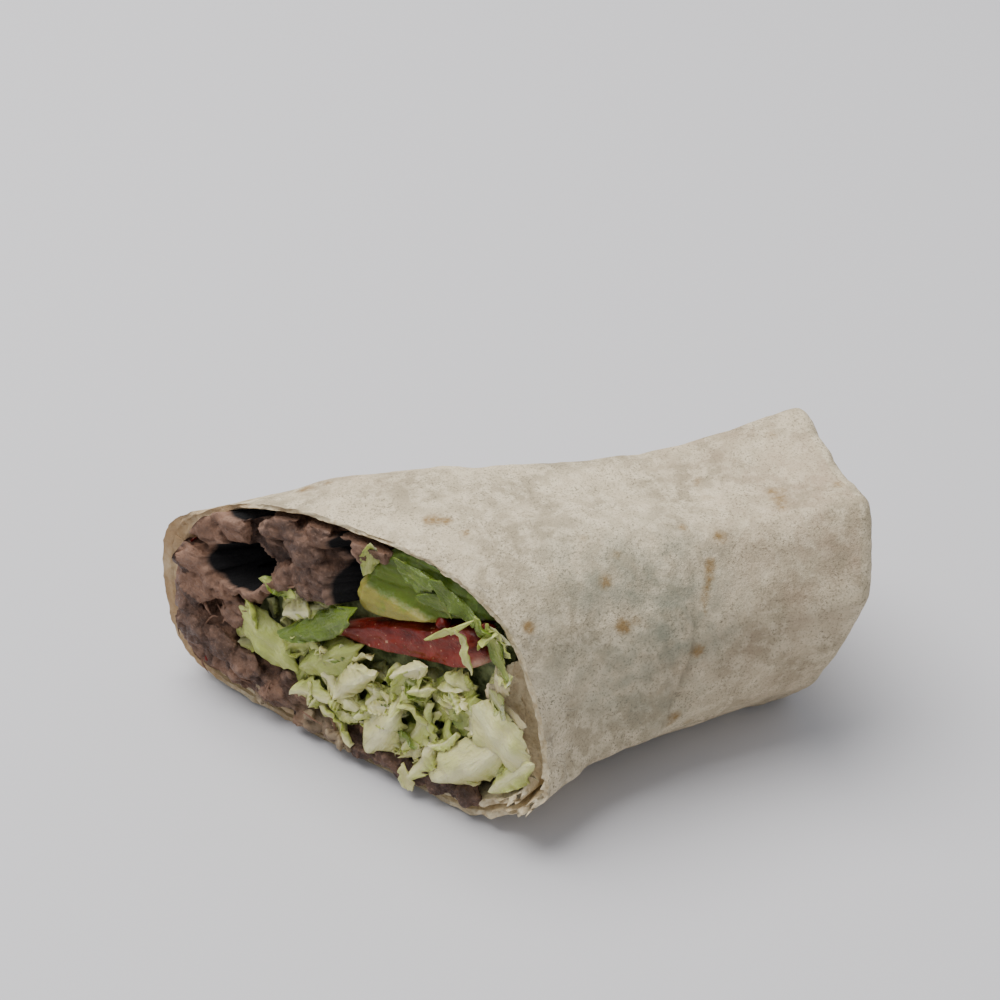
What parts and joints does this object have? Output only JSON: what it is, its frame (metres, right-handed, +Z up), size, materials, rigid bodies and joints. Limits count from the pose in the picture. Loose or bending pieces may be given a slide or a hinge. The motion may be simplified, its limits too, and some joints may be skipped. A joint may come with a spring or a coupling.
{
  "type": "wrap half",
  "caption": "Half of a rolled flour-tortilla wrap, cut on the bias, filled with beef, lettuce, avocado and tomato.",
  "frame": {"origin": "on the floor under the middle of the whole, the roll lying on its settled base", "axes": "+Z up, +Y along the roll from the slanted cut to the folded end, +X towards the short side of the cut"},
  "size_m": [0.0662, 0.1166, 0.0479],
  "materials": {
    "tortilla": "soft matt griddled flour tortilla with fine speckle and a few toast spots",
    "beef": "moist chopped cooked beef, brown with a mauve cast",
    "lettuce": "crisp damp shredded leaf, cream ribs and bright green edges",
    "avocado": "soft ripe flesh, pale yellow inside turning green outside",
    "tomato": "wet red flesh with a thin paler skin"
  },
  "bodies": {
    "root": {"tortilla": "tortilla", "beef": "beef", "lettuce": "lettuce", "avocado": "avocado", "tomato": "tomato"}
  },
  "joints": []
}
